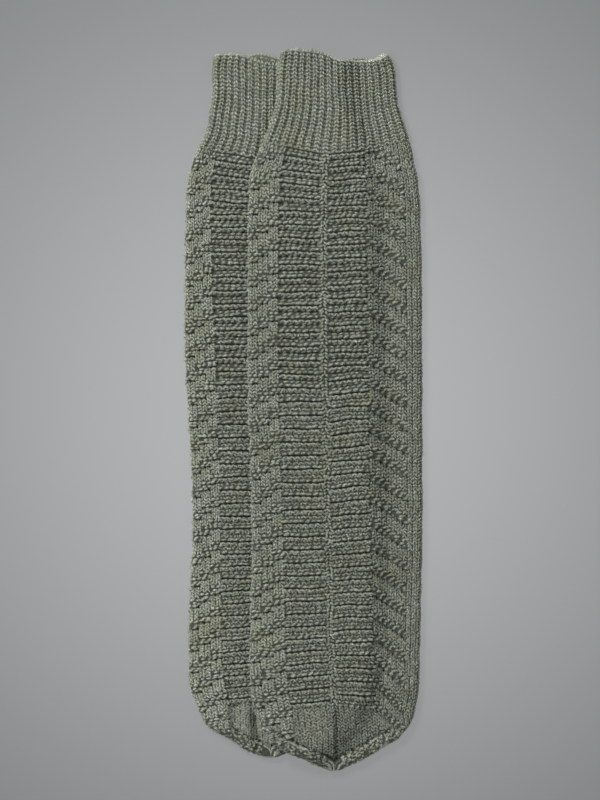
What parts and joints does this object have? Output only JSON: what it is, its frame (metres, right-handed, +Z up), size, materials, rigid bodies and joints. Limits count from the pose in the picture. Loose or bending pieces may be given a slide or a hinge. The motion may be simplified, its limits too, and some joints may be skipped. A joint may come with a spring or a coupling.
{
  "type": "pair of wool socks",
  "caption": "Pair of knitted wool tube socks laid flat, one partly over the other, with ribbed cuffs, welted and diagonally textured legs and plain pointed toes.",
  "frame": {"origin": "on the surface the socks lie on, under the middle of the pair's outline", "axes": "+Y along the socks toward the ribbed cuffs, +X toward the side of the sock that lies on top, +Z up from the surface"},
  "size_m": [0.1514, 0.4571, 0.0145],
  "materials": {
    "upper_wool": "matte heather grey-green wool, hand knit, slightly fuzzy",
    "lower_wool": "matte heather grey-green wool, hand knit, slightly fuzzy"
  },
  "bodies": {
    "root": {"sock_upper": "upper_wool", "sock_lower": "lower_wool"}
  },
  "joints": []
}
